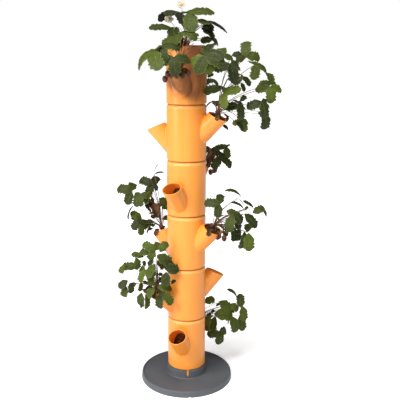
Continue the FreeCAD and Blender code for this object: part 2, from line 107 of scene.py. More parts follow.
# painted shade: the undersides get darker greens than the upper sides, for the shade they face
SHADED_UNDER_GREENS = [(0.012, 0.015, 0.006), (0.025, 0.032, 0.012), (0.05, 0.06, 0.02)]
SHADED_UNDER_VEIN_AND_HIGHLIGHT = (0.08, 0.09, 0.04)
DRY_BROWNS = [(0.03, 0.015, 0.007), (0.1, 0.042, 0.02), (0.2, 0.1, 0.05)]
DRY_VEIN_AND_HIGHLIGHT = (0.24, 0.16, 0.08)
BROWN_STALK = [(0.10, 0.035, 0.02), (0.19, 0.10, 0.05)]
RED_STALK = [(0.16, 0.035, 0.02), (0.34, 0.11, 0.05)]
GREEN_STALK = [(0.06, 0.09, 0.025), (0.12, 0.15, 0.05)]
HUSK = [(0.07, 0.025, 0.012), (0.2, 0.09, 0.045)]
RIPE_BERRY = [(0.05, 0.006, 0.003), (0.12, 0.014, 0.006)]
# painted shade: the white petals are given a darker grey-beige
PETAL_SHADED = [(0.38, 0.32, 0.25), (0.6, 0.55, 0.46)]
FLOWER_EYE = [(0.45, 0.33, 0.04), (0.62, 0.42, 0.05)]

# Crowns and stalks
CROWN_RADIUS = 0.009
CROWN_HEIGHT = 0.015
CROWN_SCALES = 7
SCALE_TURN = 137.5
SCALE_LENGTH = 0.017
STALK_RADIUS = 0.0012
STALK_SPREAD = 0.004
STALK_RISE = 0.62
STALK_CLEARANCE = 0.045
FRUIT_STALK_RADIUS = 0.0009
FRUIT_STALK_RISE = 0.075

# Leaflet models, as shares of a leaflet's length: where its teeth start and how far on they are
# full, and the share of its width from which its edge turns down
LEAFLET_ROWS = 12
LEAFLET_HALF_WIDTH = 0.355
LEAFLET_THICKNESS = 0.012
LEAFLET_TOOTH = 0.036
LEAFLET_PLEAT = 0.008
LEAFLET_SWEEP = 0.05
TEETH_FROM = 0.1
TEETH_GROWTH = 0.3
CURL_FROM = 0.62
ON_RIB = 0.001

# Side leaflets of a leaf: angle from the middle one in degrees, size and sag as shares of it
SIDE_LEAFLET_ANGLE = 92.0
SIDE_LEAFLET_SIZE = 0.88
SIDE_LEAFLET_SAG = 0.25

# How light leaves, the leaflets within a leaf and the other leaflets come out, least and most
LEAF_TINTS = (-0.22, 0.42)
LEAFLET_TINTS = (-0.06, 0.06)
SMALL_TINTS = (-0.22, 0.34)
YOUNG_TINTS = (-0.3, 0.2)
DRY_TINTS = (-0.2, 0.4)

# Each plant's young shoots, with a leaflet and with none yet, which go a share of the way to a
# leaf and stray by up to so much
SHOOTS = 9
BARE_STALKS = 7
SHOOT_SHARES = (0.35, 0.85)
SHOOT_STRAY = 0.016
YOUNG_LENGTHS = (0.018, 0.034)

# Soil in a mouth: gap to the wall, rings of its heap, and the size and height of its crumbs
SOIL_GAP = 0.0006
SOIL_RINGS = 6
CRUMB_SIZE = 0.006
CRUMB_HEIGHT = 0.005

# Berries and flowers
BERRY_RADIUS = 0.0095
BERRY_LENGTH = 0.023
BERRY_SEPALS = 8
BERRY_SEPAL_LENGTH = 0.010
PETALS = 5
PETAL_LENGTH = 0.0155
FLOWER_SEPAL_LENGTH = 0.011
FLOWER_TILT = 55.0
EYE_RADIUS = 0.0032
EYE_LIFT = 0.0012
STAMENS = 14
STAMEN_RISE = 0.0034

# Each plant's leaves: where the stalk ends, seen from the crown, then the way the middle leaflet
# points (turn and rise in degrees), the roll about that way, and the leaflet's length.
TOP_PLANT = (6, "top")
LEAVES = {
    TOP_PLANT: [
        (-0.05, -0.01, 0.055, -160, 8, 25, 0.084),
        (-0.03, 0.04, 0.112, 150, 5, -15, 0.088),
        (0.005, -0.03, 0.105, 5, 10, -28, 0.094),
        (0.075, 0.01, 0.08, -15, -20, 15, 0.082),
        (-0.015, -0.06, 0.04, -40, 0, -25, 0.066),
        (-0.035, -0.05, 0.025, -150, -20, 30, 0.06),
        (0.092, 0.03, 0.016, 110, 60, -15, 0.05),
    ],
    (6, "lower"): [
        (-0.08, -0.07, 0.06, 170, -22, 30, 0.092),
        (-0.015, -0.06, 0.038, -80, -60, -10, 0.064),
        (-0.055, -0.04, 0.072, -10, 15, -35, 0.064),
        (0.085, -0.06, 0.045, -10, -20, -55, 0.076),
        (0.09, -0.045, 0.042, -60, -50, -10, 0.066),
        (0.088, -0.04, 0.048, 65, 55, 15, 0.076),
    ],
    (6, "upper"): [
        (0.112, 0.04, -0.008, 100, 50, 10, 0.06),
        (0.06, 0.06, -0.09, -20, -10, -10, 0.05),
        (0.075, 0.025, -0.115, -35, -5, -10, 0.056),
        (-0.11, 0.06, 0.01, 160, -25, 20, 0.07),
    ],
    (5, "upper"): [
        (0.1, 0.02, 0.198, 100, 75, 25, 0.064),
        (0.125, -0.03, 0.172, 10, -8, -35, 0.064),
        (0.04, -0.04, 0.175, -60, -55, -10, 0.07),
        (0.085, 0.03, 0.13, -30, -30, -20, 0.048),
        (0.185, 0, 0.095, -80, -55, 0, 0.062),
        (0.15, -0.05, 0.048, -55, -50, -5, 0.066),
        (0.018, -0.06, 0.08, -40, 15, -45, 0.068),
        (0.07, -0.04, 0.038, -50, -50, 0, 0.062),
        (0.088, -0.01, -0.022, -60, -50, 0, 0.044),
        (-0.005, 0.075, 0.04, 80, -10, 0, 0.05),
        (0.19, 0.015, 0.104, 95, 65, -20, 0.052),
    ],
    (4, "upper"): [
        (0.105, 0.02, 0.06, 180, 0, 35, 0.054),
        (0.075, -0.03, 0.03, -10, -30, -35, 0.062),
        (0.045, 0.04, 0.05, -90, -60, 10, 0.05),
    ],
    (3, "upper"): [
        (0.024, -0.03, 0.092, 180, 10, 60, 0.058),
    ],
    (3, "lower"): [
        (-0.115, -0.02, 0.152, -175, 20, 60, 0.064),
        (-0.08, -0.06, 0.148, -100, -55, -10, 0.05),
        (-0.035, 0, 0.172, 170, 25, 55, 0.06),
        (-0.085, -0.03, 0.042, -140, -40, 45, 0.052),
        (-0.08, 0.01, 0.012, -100, -60, 0, 0.044),
        (0, 0.07, 0.075, 90, 35, 0, 0.05),
    ],
    (2, "lower"): [
        (-0.006, -0.03, 0.157, 180, 33, 65, 0.055),
        (-0.045, -0.03, 0.081, -140, -50, 10, 0.052),
    ],
    (1, "lower"): [
        (0.098, -0.05, -0.027, -60, -62, 0, 0.06),
    ],
}

# Where each berry hangs and each flower opens, seen from the crown
BERRIES = {
    (6, "lower"): [(-0.046, -0.016, -0.022), (-0.036, -0.032, -0.005)],
    (4, "upper"): [(0.042, -0.006, -0.022), (0.058, 0.02, -0.002)],
    (3, "upper"): [(0.042, -0.034, -0.024), (0.05, -0.011, -0.012)],
}
FLOWERS = {TOP_PLANT: [(-0.018, -0.036, 0.13), (-0.062, 0.014, 0.084)]}

# Small single leaflets on stalks of their own, as the leaves above
SMALL_LEAFLETS = {
    (5, "upper"): [
        (0.009, -0.01, 0.085, 180, 5, 50, 0.062),
        (0.048, 0.0, 0.203, 0, 15, -70, 0.034),
        (0.087, 0.0, 0.128, 0, -20, -40, 0.03),
        (0.082, 0.0, 0.11, -20, -60, -30, 0.034),
        (0.17, -0.02, 0.004, -90, -80, 20, 0.06),
        (0.063, -0.03, -0.025, -20, -35, -20, 0.042),
        (0.02, 0.03, -0.045, 10, -10, -40, 0.032),
    ],
    (3, "upper"): [
        (0.05, -0.01, 0.062, -10, -10, -50, 0.05),
        (0.072, -0.04, 0.055, -135, -50, 10, 0.069),
        (0.068, -0.03, 0.06, -15, -30, -50, 0.062),
        (0.114, 0, 0.066, 180, 45, 5, 0.054),
        (0.116, -0.02, 0.054, -20, -40, -30, 0.067),
        (0.149, 0, 0.074, 180, 40, 15, 0.045),
        (0.145, -0.02, 0.057, 0, 30, -60, 0.049),
        (0.171, -0.01, 0.076, 0, -42, -20, 0.049),
        (0.08, 0, 0.015, 0, -35, -60, 0.047),
        (0.074, -0.02, 0.003, -60, -65, 0, 0.054),
        (0.128, -0.01, -0.018, 80, 60, 0, 0.045),
        (0.116, -0.02, -0.014, -100, -72, 50, 0.067),
        (0.13, -0.03, -0.016, -80, -70, 0, 0.067),
        (0.1, 0, -0.02, -130, -68, 50, 0.043),
        (0.105, 0.03, 0.108, 180, 48, 0, 0.067),
        (0.095, 0.03, 0.098, 0, -40, 0, 0.038),
    ],
    (3, "lower"): [
        (-0.086, -0.03, 0.15, -120, -62, 0, 0.058),
        (-0.044, -0.04, 0.155, -145, -45, 15, 0.056),
        (-0.055, -0.02, 0.13, -60, -60, 0, 0.046),
        (-0.03, -0.01, 0.15, 180, 0, 10, 0.05),
        (0.0, 0.0, 0.12, -30, -60, -20, 0.048),
        (0.01, 0.0, 0.09, 0, -30, -40, 0.042),
        (-0.03, -0.02, 0.028, 180, 10, 30, 0.04),
        (-0.04, -0.02, 0.025, 180, -20, 30, 0.042),
        (-0.027, -0.02, 0.215, 0, 28, -5, 0.038),
        (-0.03, -0.02, 0.22, 0, 72, 0, 0.044),
        (-0.108, -0.02, 0.094, 180, -52, 0, 0.06),
        (-0.078, -0.02, 0.042, 180, 35, 55, 0.05),
        (-0.033, -0.02, 0.18, 0, -42, 70, 0.034),
        (-0.055, -0.03, 0.115, 150, 40, 30, 0.045),
        (0.0, -0.01, 0.078, 20, 50, -30, 0.036),
        (0.0, 0.0, 0.036, 0, 10, -40, 0.03),
    ],
    (1, "lower"): [
        (0.062, -0.05, 0.042, -150, -50, 10, 0.062),
        (0.05, -0.02, 0.0, -90, -60, 0, 0.04),
        (0.037, -0.02, 0.088, 0, 25, -60, 0.052),
        (0.098, -0.02, 0.092, -10, -30, -50, 0.067),
        (0.142, -0.02, 0.08, -10, -25, -50, 0.052),
        (0.187, -0.02, 0.066, 100, 72, 10, 0.056),
        (0.191, -0.03, 0.076, -60, -68, 0, 0.063),
        (0.078, -0.04, 0.045, 0, 0, -60, 0.081),
        (0.082, -0.05, 0.038, -130, -60, 0, 0.067),
        (0.147, -0.04, 0.036, -50, -55, -10, 0.069),
        (0.183, -0.03, 0.037, -60, -62, 0, 0.065),
        (0.1, -0.03, -0.05, -120, -50, 20, 0.036),
        (0.135, -0.01, 0.016, -60, -70, 40, 0.027),
        (0.171, -0.01, 0.106, 180, 68, 0, 0.058),
        (0.035, -0.02, 0.03, -60, -60, 0, 0.056),
    ],
    (2, "lower"): [
        (-0.028, -0.03, 0.146, 180, 15, 60, 0.043),
        (0.002, -0.055, 0.147, 0, -30, -65, 0.067),
        (0.027, -0.055, 0.1, 0, -8, -65, 0.06),
        (0.035, -0.055, 0.082, -100, -70, 0, 0.055),
        (0.03, -0.05, 0.131, 0, -45, -50, 0.06),
        (0.045, -0.05, 0.076, 20, 20, -40, 0.043),
        (0, -0.02, 0.114, -20, -40, -30, 0.042),
        (-0.006, -0.04, 0.108, -145, -45, 15, 0.06),
        (-0.028, -0.04, 0.071, -60, -60, 0, 0.048),
        (-0.078, -0.02, 0.126, -50, -55, 0, 0.05),
        (-0.05, -0.01, 0.126, 180, 20, 30, 0.048),
        (-0.074, -0.02, 0.087, 180, 10, 35, 0.064),
        (-0.123, -0.02, 0.096, -160, -60, 60, 0.038),
        (-0.11, -0.03, 0.039, 180, -35, 60, 0.048),
        (-0.1, -0.04, 0.034, -60, -55, 0, 0.043),
        (-0.116, -0.02, 0.011, -160, -68, 60, 0.048),
        (-0.06, -0.02, 0.029, -100, -70, 50, 0.036),
        (-0.008, -0.05, 0.02, -150, -30, 20, 0.053),
        (-0.058, -0.04, -0.006, -130, -62, 0, 0.06),
        (-0.055, -0.03, -0.019, -80, -75, 60, 0.05),
        (-0.043, -0.04, -0.011, -50, -65, 20, 0.058),
        (0.016, -0.05, -0.004, -125, -64, 0, 0.06),
        (0.02, -0.055, 0, -25, -35, -30, 0.058),
        (0.002, -0.045, 0.017, 0, 10, -40, 0.06),
        (0.055, -0.05, 0.033, 40, 50, -20, 0.026),
        (0.012, -0.05, 0.158, 0, 60, -70, 0.05),
    ],
}

# Painted light: how much lighter than the others a plant's leaves are painted, for more light on
# them
PAINTED_LIGHT_SHARE = {(1, "lower"): 0.3, (2, "lower"): 0.06}

# Withered leaflets round the crowns, as the leaves above but each by itself
DRY_LEAFLETS = {
    (6, "lower"): [
        (-0.02, -0.03, -0.004, -130, -45, 0, 0.03),
        (0.012, -0.03, -0.004, -70, -50, 10, 0.03),
        (-0.005, -0.034, -0.006, -95, -58, 0, 0.028),
        (0.024, -0.02, 0.002, -40, -40, -10, 0.03),
        (-0.012, -0.02, 0.02, -100, 20, 20, 0.034),
        (0.01, -0.02, 0.012, -60, 50, 10, 0.03),
    ],
    (5, "upper"): [
        (0.02, -0.012, 0.002, -30, -30, 0, 0.034),
        (0.0, -0.02, 0.0, -100, -20, 0, 0.028),
        (0.05, -0.01, 0.045, 0, 10, 0, 0.03),
        (0.066, 0.0, 0.04, 20, 0, 20, 0.03),
        (0.03, -0.02, 0.03, -60, 50, 20, 0.026),
    ],
    (4, "upper"): [
        (0.03, -0.02, 0.07, -60, -60, 20, 0.05),
        (0.045, -0.01, 0.05, -100, -70, -20, 0.054),
        (0.06, 0.0, 0.035, -40, -60, 10, 0.045),
        (0.028, -0.01, 0.02, -80, -50, 10, 0.04),
        (0.05, -0.02, 0.0, -70, -40, 0, 0.038),
    ],
    (3, "upper"): [
        (-0.012, -0.02, -0.003, -100, -20, 0, 0.032),
        (0.016, -0.028, -0.006, -60, -50, 0, 0.038),
        (0.03, -0.02, -0.008, -40, -42, 10, 0.038),
        (0.0, 0.012, 0.0, 120, 10, 0, 0.034),
        (0.02, 0.0, 0.004, -20, -15, 30, 0.036),
    ],
    (3, "lower"): [
        (-0.042, -0.02, 0.135, -60, -75, 30, 0.06),
        (-0.032, -0.025, 0.11, -50, -80, -20, 0.06),
        (-0.022, -0.02, 0.09, -100, -80, 0, 0.055),
        (-0.01, -0.02, 0.002, -140, -20, 0, 0.035),
        (-0.035, -0.01, 0.0, -170, -10, 10, 0.035),
    ],
    (2, "lower"): [
        (-0.01, -0.03, 0.0, -100, -40, 0, 0.034),
        (0.016, -0.03, 0.0, -60, -42, 0, 0.034),
        (-0.02, 0.0, 0.004, -160, -5, 20, 0.032),
    ],
}

# Reddish fruit stalks that have lost their fruit, by where each one ends
OLD_STALKS = {
    (6, "lower"): [
        (-0.012, -0.02, 0.085),
        (0.0, -0.03, 0.07),
        (0.008, -0.02, 0.096),
        (0.022, -0.025, 0.1),
        (0.03, -0.03, 0.072),
        (0.036, -0.02, 0.092),
        (0.05, -0.02, 0.084),
        (0.042, -0.03, 0.06),
    ],
    (3, "lower"): [
        (-0.04, -0.02, 0.12),
        (-0.03, -0.02, 0.1),
        (-0.022, -0.01, 0.085),
        (0.0, -0.02, 0.07),
        (0.012, -0.01, 0.055),
    ],
    (5, "upper"): [
        (0.03, -0.02, 0.045),
        (0.05, -0.01, 0.05),
        (0.068, 0.0, 0.045),
        (0.01, -0.02, 0.05),
        (-0.01, -0.01, 0.04),
    ],
}

UP = Vector((0, 0, 1))
chance = random.Random(7)


def material(name, roughness):
    """A new material, its node tree, and its shader with this roughness."""
    made = bpy.data.materials.new(name)
    made.use_nodes = True
    shader = made.node_tree.nodes["Principled BSDF"]
    shader.inputs["Roughness"].default_value = roughness
    return made, made.node_tree, shader


def node(tree, kind, inputs=(), **settings):
    """A node with settings, and inputs given as (name or number, value or socket)."""
    made = tree.nodes.new("ShaderNode" + kind)
    for setting, value in settings.items():
        setattr(made, setting, value)
    for place, value in inputs:
        if isinstance(value, bpy.types.NodeSocket):
            tree.links.new(value, made.inputs[place])
        else:
            made.inputs[place].default_value = value
    return made


def arithmetic(tree, operation, *values):
    """A Math node's result."""
    return node(tree, "Math", enumerate(values), operation=operation).outputs[0]


def product(tree, first, second):
    return arithmetic(tree, "MULTIPLY", first, second)


def object_place(tree):
    """Each point's place in its piece's own coordinates."""
    return tree.nodes.new("ShaderNodeTexCoord").outputs["Object"]


def noise(tree, scale, detail, stretch=(1, 1, 1)):
    """Noise on the piece's own coordinates, which can be stretched."""
    vector = object_place(tree)
    if stretch != (1, 1, 1):
        vector = node(tree, "Mapping", [("Vector", vector), ("Scale", stretch)]).outputs[0]
    made = node(tree, "TexNoise", [("Vector", vector), ("Scale", scale), ("Detail", detail)])
    return made.outputs["Fac"]


def ramp(tree, value, places, colours):
    """The colours at their places from 0 to 1, and blends between them."""
    made = node(tree, "ValToRGB", [(0, value)])
    points = made.color_ramp.elements
    while len(points) < len(colours):
        points.new(0.5)
    for point, place, colour in zip(points, places, colours):
        point.position = place
        point.color = (*colour, 1)
    return made.outputs[0]


def between(tree, value, low, high):
    """0 below low, 1 above high, and smooth between them; the other way round if low is more."""
    inputs = [(0, value), (1, low), (2, high)]
    return node(tree, "MapRange", inputs, interpolation_type="SMOOTHSTEP").outputs[0]


def spread(tree, value, low, high, start=0.0, end=1.0):
    """low where the value is at start, high where it is at end, and even between them."""
    inputs = [(0, value), (1, start), (2, end), (3, low), (4, high)]
    return node(tree, "MapRange", inputs).outputs[0]


def mixed(tree, share, first, second):
    """The first colour, with a share of the second one mixed in."""
    colours = [(6, first), (7, (*second, 1))]
    return node(tree, "Mix", [(0, share), *colours], data_type="RGBA").outputs[2]


def bump(tree, shader, height, distance, strength):
    """Relief in the shading only."""
    made = node(tree, "Bump", [("Height", height), ("Distance", distance), ("Strength", strength)])
    tree.links.new(made.outputs[0], shader.inputs["Normal"])


def painted_canopy_shade(tree, right, height):
    """How much painted shade of the plants darkens the top tier under its two planted spouts, from
    0 to 1.
    """
    shade_mottle = noise(tree, 26.0, 4.0, (1, 1, 0.3))
    ragged = arithmetic(tree, "ADD", height, product(tree, shade_mottle, CANOPY_SHADE_RAGGEDNESS))
    drift = product(tree, arithmetic(tree, "MINIMUM", right, 0.0), CANOPY_SHADE_SLANT)
    canopy_shade = between(tree, arithmetic(tree, "ADD", ragged, drift), CANOPY_SHADE_FROM, CANOPY_SHADE_TO)
    below_rim = between(tree, ragged, *reversed(CANOPY_SHADE_FADE))
    around = arithmetic(tree, "MAXIMUM", below_rim, between(tree, right, *CANOPY_SHADE_SIDE))
    canopy_shade = product(tree, canopy_shade, around)
    return product(tree, canopy_shade, arithmetic(tree, "ADD", shade_mottle, 0.42))


def tier_plastic():
    """Orange moulded plastic: satin skin, faint flow marks, painted shade in the grooves between
    tiers, a painted highlight on the shoulders, and painted shade of the plants down the top tier."""
    made, tree, shader = material("tier_plastic", 0.34)
    right, _, height = node(tree, "SeparateXYZ", [(0, object_place(tree))]).outputs
    risen = arithmetic(tree, "SUBTRACT", height, COLLAR_TOP)
    in_tier = arithmetic(tree, "FRACT", arithmetic(tree, "DIVIDE", risen, TIER_PITCH))
    groove = arithmetic(tree, "ABSOLUTE", arithmetic(tree, "SUBTRACT", in_tier, 0.5))
    # painted shade in the groove between each two tiers
    groove_shade = between(tree, groove, 0.478, 0.494)
    # painted highlight along each tier's rounded shoulder, where the top lamps shine
    shoulder_highlight = product(
        tree, between(tree, in_tier, 0.92, 0.95), between(tree, in_tier, 0.988, 0.97)
    )
    # painted shade of the top tier's plants, coloured like earth
    canopy_shade = painted_canopy_shade(tree, right, height)
    flow = noise(tree, 14.0, 2.0, (1, 1, 0.35))
    colour = ramp(tree, flow, (0.3, 0.7), ORANGE_PLASTIC)
    colour = mixed(tree, product(tree, shoulder_highlight, 0.6), colour, SHOULDER_HIGHLIGHT_COLOUR)
    colour = mixed(tree, product(tree, groove_shade, 0.55), colour, GROOVE_SHADE_COLOUR)
    # darken the top tier with the painted shade of its plants
    colour = mixed(tree, canopy_shade, colour, CANOPY_SHADE_COLOUR)
    speckle = between(tree, noise(tree, 190.0, 4.0), 0.66, 0.74)
    colour = mixed(tree, product(tree, speckle, 0.10), colour, BROWN_SPECKLE)
    tree.links.new(colour, shader.inputs["Base Color"])
    worn = spread(tree, noise(tree, 60.0, 5.0, (1, 1, 0.25)), 0.29, 0.42)
    rough = arithmetic(tree, "ADD", worn, product(tree, canopy_shade, 0.35))
    tree.links.new(rough, shader.inputs["Roughness"])
    bump(tree, shader, noise(tree, 1400.0, 2.0), 0.00006, 0.5)
    return made


def foot_plastic():
    """Dark grey matte plastic with a moulded grain and a little dust."""
    made, tree, shader = material("foot_plastic", 0.55)
    flecks = noise(tree, 900.0, 4.0)
    colour = ramp(tree, noise(tree, 18.0, 4.0), (0.25, 0.75), GREY_PLASTIC)
    colour = mixed(tree, between(tree, flecks, 0.6, 0.8), colour, GREY_DUST)
    tree.links.new(colour, shader.inputs["Base Color"])
    bump(tree, shader, flecks, 0.00015, 0.6)
    return made


def soil_crumbs():
    """Dark potting soil: coarse crumbs, fibres and a few pale grains."""
    made, tree, shader = material("soil_crumbs", 0.95)
    shader.inputs["Specular IOR Level"].default_value = 0.1
    crumbs = noise(tree, 160.0, 8.0)
    colour = ramp(tree, crumbs, (0.3, 0.55, 0.8), CRUMBS)
    grains = node(tree, "TexVoronoi", [("Vector", object_place(tree)), ("Scale", 240.0)])
    pale = between(tree, grains.outputs["Distance"], 0.22, 0.12)
    rare = between(tree, noise(tree, 70.0, 2.0), 0.6, 0.66)
    colour = mixed(tree, product(tree, pale, rare), colour, PALE_GRAIN)
    tree.links.new(colour, shader.inputs["Base Color"])
    bump(tree, shader, crumbs, 0.003, 0.9)
    return made


def leaf_skin(name, greens, vein_and_highlight, roughness, depth):
    """Leaf green with a pale rib and side veins, and a painted highlight along the margin, drawn on
    the leaflet's own map.
    """
    made, tree, shader = material(name, roughness)
    shader.inputs["Specular IOR Level"].default_value = 0.22
    spot = node(tree, "UVMap", uv_map="leaf_map").outputs[0]
    along, across, _ = node(tree, "SeparateXYZ", [(0, spot)]).outputs
    off_rib = arithmetic(tree, "ABSOLUTE", arithmetic(tree, "SUBTRACT", across, 0.5))
    aside = product(tree, off_rib, 2.0)
    slant = arithmetic(tree, "SUBTRACT", along, product(tree, aside, 0.16))
    turns = product(tree, slant, math.pi * LEAFLET_ROWS / 2)
    wave = arithmetic(tree, "ABSOLUTE", arithmetic(tree, "SINE", turns))
    side_vein = between(tree, wave, 0.34, 0.0)
    rib = between(tree, aside, 0.08, 0.01)
    veins = arithmetic(tree, "MAXIMUM", rib, product(tree, side_vein, 0.75))
    tint = node(tree, "Attribute", attribute_name="tint").outputs["Fac"]
    blotch = noise(tree, 90.0, 4.0)
    shade = arithmetic(tree, "ADD", product(tree, blotch, 0.5), tint)
    colour = ramp(tree, shade, (0.0, 0.4, 0.85), greens)
    pale_veins = product(tree, veins, 0.32)
    # painted highlight along the leaflet's margin
    margin_highlight = product(tree, between(tree, aside, 0.78, 1.0), 0.45)
    colour = mixed(tree, arithmetic(tree, "MAXIMUM", pale_veins, margin_highlight), colour, vein_and_highlight)
    tree.links.new(colour, shader.inputs["Base Color"])
    fine = noise(tree, 700.0, 2.0)
    height = arithmetic(tree, "SUBTRACT", product(tree, fine, 0.3), veins)
    bump(tree, shader, height, depth, 0.8)
    return made


def stalk_skin(name, shades):
    """Thin stalks or papery scales, blotched in two shades and finely ribbed along."""
    made, tree, shader = material(name, 0.5)
    colour = ramp(tree, noise(tree, 35.0, 2.0), (0.35, 0.65), shades)
    tree.links.new(colour, shader.inputs["Base Color"])
    bump(tree, shader, noise(tree, 1200.0, 1.0, (1, 1, 0.1)), 0.0002, 0.6)
    return made


def berry_skin():
    """A ripe berry's dark red, with a soft shine."""
    made, tree, shader = material("berry_skin", 0.36)
    shader.inputs["Specular IOR Level"].default_value = 0.3
    colour = ramp(tree, noise(tree, 140.0, 2.0), (0.3, 0.7), RIPE_BERRY)
    tree.links.new(colour, shader.inputs["Base Color"])
    bump(tree, shader, noise(tree, 500.0, 2.0), 0.0002, 0.5)
    return made


def flower_skin(name, shades):
    """A matte petal or flower eye with fine streaks."""
    made, tree, shader = material(name, 0.6)
    streaks = noise(tree, 300.0, 2.0, (1, 1, 0.4))
    colour = ramp(tree, streaks, (0.3, 0.7), shades)
    tree.links.new(colour, shader.inputs["Base Color"])
    bump(tree, shader, streaks, 0.0002, 0.4)
    return made


def enter(mode):
    bpy.ops.object.mode_set(mode=mode)


def deselect_all():
    if bpy.context.object and bpy.context.object.mode != "OBJECT":
        enter("OBJECT")
    bpy.ops.object.select_all(action="DESELECT")


def work_on(piece):
    """Make this piece the only one that is selected, and the active one."""
    deselect_all()
    piece.select_set(True)
    bpy.context.view_layer.objects.active = piece


def pick(piece, wanted):
    """Select a mesh's points by their place, and stay in edit mode."""
    enter("EDIT")
    bpy.ops.mesh.select_mode(type="VERT")
    bpy.ops.mesh.select_all(action="DESELECT")
    enter("OBJECT")
    for point in piece.data.vertices:
        point.select = bool(wanted(point.co))
    enter("EDIT")


def turn_picked(degrees, axis, centre):
    """Turn what is picked by the right-hand rule, which the operator reverses with no window."""
    bpy.ops.transform.rotate(
        value=-math.radians(degrees), orient_axis=axis, orient_type="GLOBAL", center_override=centre
    )


def level_ways(degrees):
    """The level way at an angle round the upright axis, and the level way square to it."""
    turn = math.radians(degrees)
    out = Vector((math.cos(turn), math.sin(turn), 0))
    return out, Vector((-math.sin(turn), math.cos(turn), 0))


def standing(place, along, side, normal, size):
    """The matrix that puts a model with its length on +X at a place, along a way."""
    turned = Matrix((along, side, normal)).transposed().to_4x4()
    return Matrix.Translation(place) @ turned @ Matrix.Scale(size, 4)


def copied(model, matrix, tint):
    """A copy of a model, with its own mesh, put in place in its mesh."""
    piece = model.copy()
    piece.data = model.data.copy()
    bpy.context.collection.objects.link(piece)
    piece.data.transform(matrix)
    shade = piece.data.attributes.new("tint", "FLOAT", "POINT")
    shade.data.foreach_set("value", [tint] * len(piece.data.vertices))
    return piece


def joined(pieces, name):
    """The pieces as one mesh object."""
    deselect_all()
    for piece in pieces:
        piece.select_set(True)
    bpy.context.view_layer.objects.active = pieces[0]
    if len(pieces) > 1:
        bpy.ops.object.join()
    pieces[0].name = name
    pieces[0].data.name = name
    return pieces[0]


def skinned(piece, *skins):
    """Give a bare piece its materials, one for each of its slots."""
    for skin in skins:
        piece.data.materials.append(skin)
    return piece


def leaflet_width(reach):
    """Half width of a leaflet at a share of its length: an oval with blunt ends."""
    return LEAFLET_HALF_WIDTH * math.sin(math.pi * (0.02 + 0.96 * reach)) ** 0.8


def shape_row(leaflet, number, lean):
    """Give one row of a flat leaflet its width, its teeth, its sweep to the tip and its pleat."""
    step = 1 / LEAFLET_ROWS
    flat = number * step - 0.5
    reach = flat + 0.5
    toothed = number % 2 == 1
    swell = min(1.0, max(0.0, (reach - TEETH_FROM) / TEETH_GROWTH))
    tooth = LEAFLET_TOOTH * swell if toothed else 0
    for hand in (1, -1):
        width = leaflet_width(reach) * (1 + lean * hand * (1 - reach))
        pick(leaflet, lambda spot: abs(spot.x - flat) < step / 4 and spot.y * hand > 0.1)
        bpy.ops.transform.resize(value=(1, 2 * width, 1), center_override=(flat, 0, 0))
        pick(leaflet, lambda spot: abs(spot.x - flat) < step / 4 and spot.y * hand > 0.7 * width)
        bpy.ops.transform.translate(value=(0.5 * tooth, hand * tooth, 0))
    near = step / 4 + 0.5 * LEAFLET_TOOTH
    pick(leaflet, lambda spot: abs(spot.x - flat) < near and abs(spot.y) > ON_RIB)
    sweep = LEAFLET_SWEEP * math.sin(math.pi * reach)
    lift = LEAFLET_PLEAT * swell * (-1 if toothed else 1)
    bpy.ops.transform.translate(value=(sweep, 0, lift))


def open_rim(mesh):
    """The numbers of a mesh's points that lie on its open edges."""
    uses = {}
    for face in mesh.polygons:
        for edge in face.edge_keys:
            uses[edge] = uses.get(edge, 0) + 1
    return {point for edge, count in uses.items() if count == 1 for point in edge}


def close_below(leaflet):
    """Give a flat leaflet its underside, which meets the upper side at the rim."""
    work_on(leaflet)
    count = len(leaflet.data.vertices)
    rim = open_rim(leaflet.data)
    pick(leaflet, lambda spot: True)
    bpy.ops.mesh.duplicate()
    bpy.ops.mesh.flip_normals()
    enter("OBJECT")
    for number, point in enumerate(leaflet.data.vertices):
        point.select = number >= count and number - count not in rim
    enter("EDIT")
    bpy.ops.transform.translate(value=(0, 0, -LEAFLET_THICKNESS))
    bpy.ops.mesh.select_all(action="SELECT")
    bpy.ops.mesh.remove_doubles(threshold=0.0001)
    enter("OBJECT")
    for face in leaflet.data.polygons:
        face.material_index = 1 if face.normal.z < 0 else 0


def leaflet_model(name, fold, curl, droop, lean):
    """One leaflet a metre long, from its stalk along +X with its rib on Y = 0.

    fold is how far its halves rise, curl how far their edges turn down again, and droop how far
    the rib bends down, all in degrees. lean is how much wider its half towards +Y is.
    """
    deselect_all()
    bpy.ops.mesh.primitive_grid_add(x_subdivisions=LEAFLET_ROWS, y_subdivisions=4, size=1)
    leaflet = bpy.context.object
    leaflet.name = name
    leaflet.data.uv_layers[0].name = "leaf_map"
    for number in range(LEAFLET_ROWS + 1):
        shape_row(leaflet, number, lean)
    close_below(leaflet)
    pick(leaflet, lambda spot: True)
    bpy.ops.transform.translate(value=(0.5, 0, 0))
    for hand in (1, -1):
        pick(leaflet, lambda spot: spot.y * hand > ON_RIB)
        turn_picked(fold * hand, "X", (0, 0, 0))
        pick(
            leaflet,
            lambda spot: spot.y * hand > CURL_FROM * leaflet_width(min(1, max(0, spot.x))),
        )
        turn_picked(-curl * hand, "X", (0, 0, 0))
    for number in range(LEAFLET_ROWS - 1, 1, -1):
        knee = number / LEAFLET_ROWS
        pick(leaflet, lambda spot: spot.x > knee + ON_RIB)
        turn_picked(droop / (LEAFLET_ROWS - 2), "Y", (knee, 0, 0))
    enter("OBJECT")
    bpy.ops.object.shade_smooth_by_angle(angle=math.radians(75))
    return leaflet


